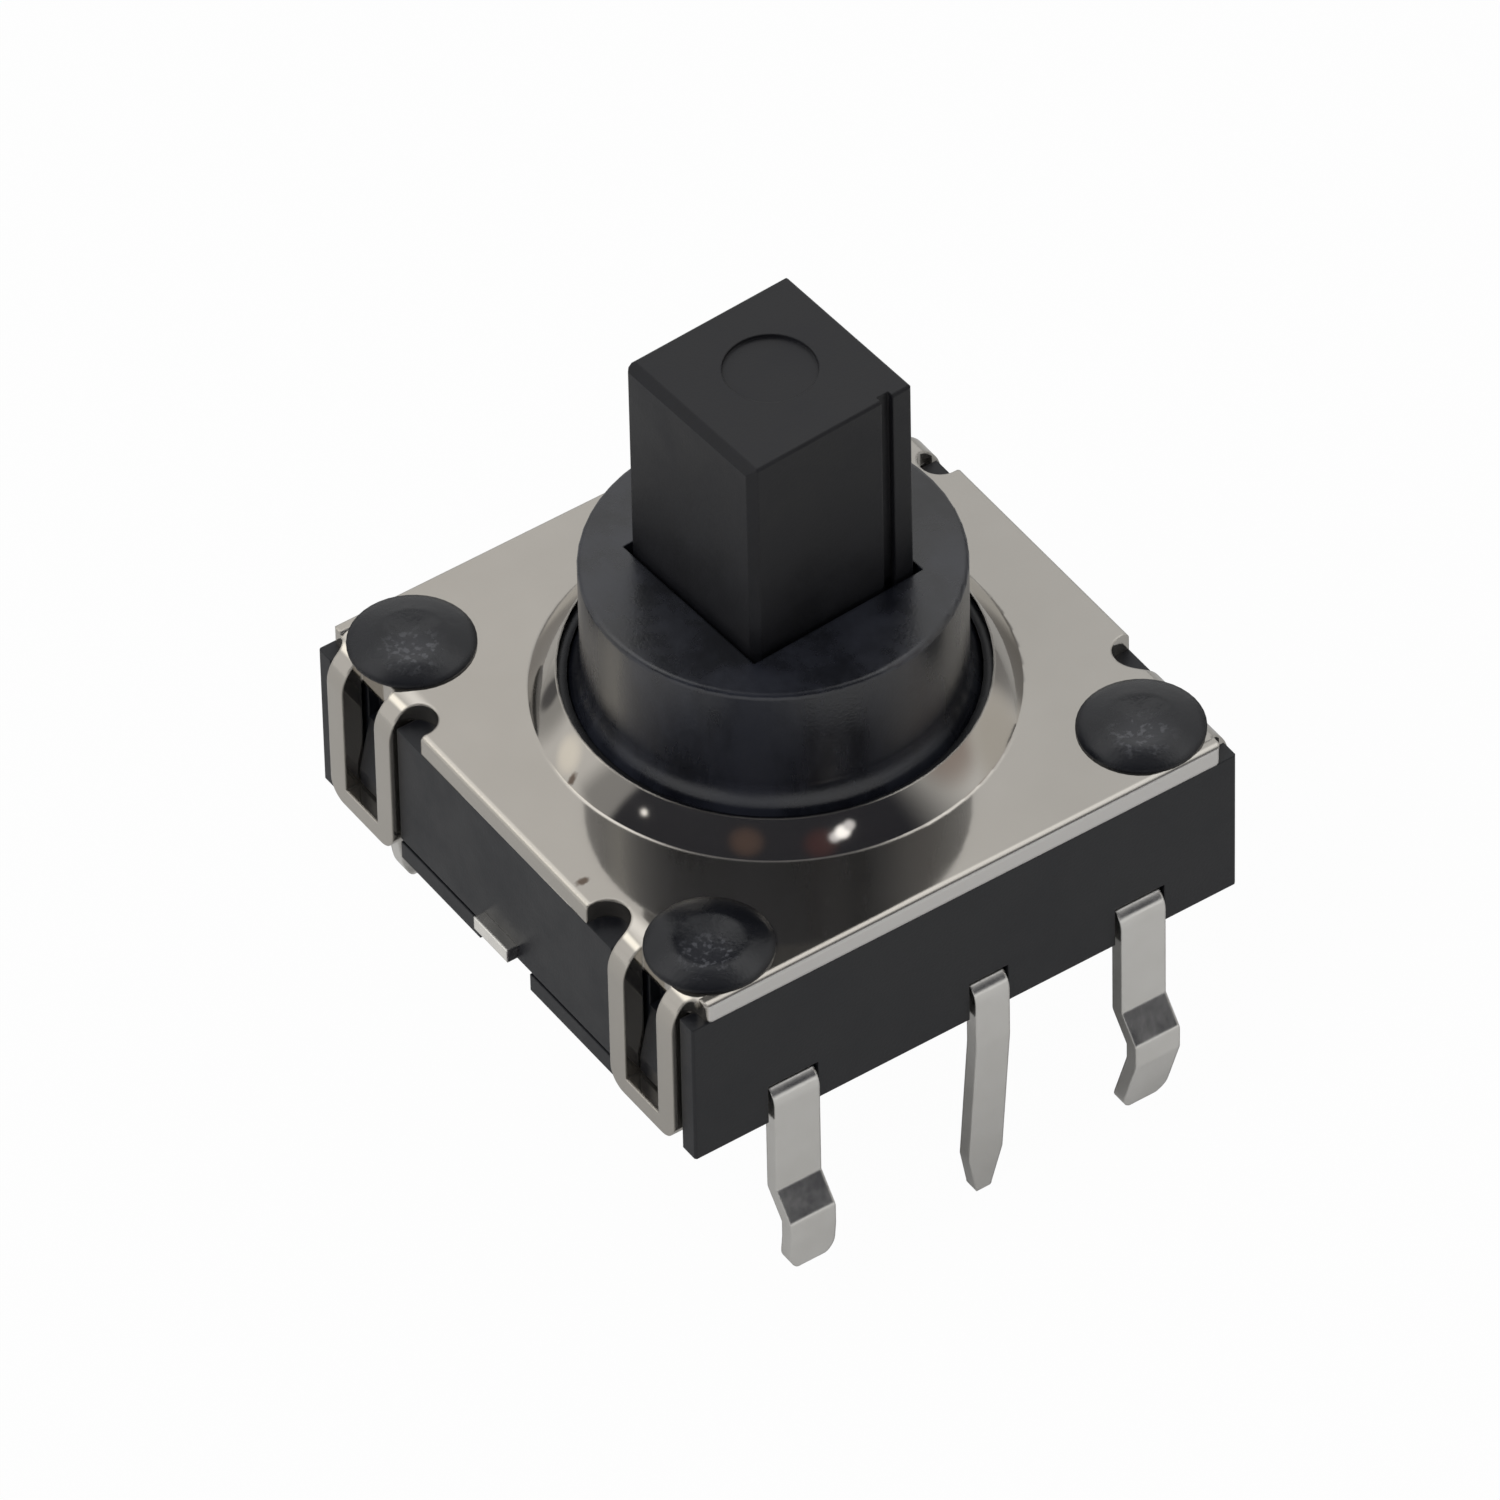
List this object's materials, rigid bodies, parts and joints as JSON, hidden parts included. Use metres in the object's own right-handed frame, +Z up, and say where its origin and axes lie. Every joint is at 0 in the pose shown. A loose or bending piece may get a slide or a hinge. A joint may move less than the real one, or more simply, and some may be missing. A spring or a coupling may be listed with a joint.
{
  "type": "multi-direction switch",
  "caption": "Square through-hole switch whose knob tilts in every direction of a cross and pushes down in the middle, with a stamped cover and kinked pins.",
  "frame": {"origin": "middle of the housing's underside, on the plane of the circuit board", "axes": "+Z up along the knob; the pins stand on the -Y and +Y sides; the cover's snap tabs are on the -X and +X sides; -Y is the side whose middle pin is offset towards +X"},
  "size_m": [0.0104, 0.011, 0.0138],
  "materials": {
    "housing_plastic": "fine moulded black",
    "collar_plastic": "mottled moulded black",
    "stem_plastic": "smooth moulded black",
    "cover_metal": "bright nickel silver",
    "terminal_metal": "satin tin plate",
    "dome_steel": "bright spring steel"
  },
  "bodies": {
    "base": {"housing": "housing_plastic", "cover": "cover_metal", "centre_dome": "dome_steel", "west_dome": "dome_steel", "east_dome": "dome_steel", "south_dome": "dome_steel", "north_dome": "dome_steel", "west_terminal": "terminal_metal", "east_terminal": "terminal_metal", "south_terminal": "terminal_metal", "north_terminal": "terminal_metal", "centre_terminal": "terminal_metal", "common_terminal": "terminal_metal"},
    "ring": {"guide_ring": "housing_plastic"},
    "knob": {"collar": "collar_plastic"},
    "plunger": {"stem": "stem_plastic"}
  },
  "joints": [
    {"name": "tilt_about_y", "type": "hinge", "parent": "base", "child": "ring", "pos_m": [0, 0, 0.0019], "axis": [0, 1, 0], "range_deg": [-5, 5], "stiffness_Nm_per_rad": 0.05, "deforming": ["west_dome", "east_dome"]},
    {"name": "tilt_about_x", "type": "hinge", "parent": "ring", "child": "knob", "pos_m": [0, 0, 0.0019], "axis": [1, 0, 0], "range_deg": [-5, 5], "stiffness_Nm_per_rad": 0.05, "deforming": ["south_dome", "north_dome"]},
    {"name": "centre_push", "type": "slide", "parent": "knob", "child": "plunger", "axis": [0, 0, -1], "range_m": [0, 0.00024], "stiffness_N_per_m": 2000, "springref_m": -0.0001, "deforming": ["centre_dome"]}
  ]
}
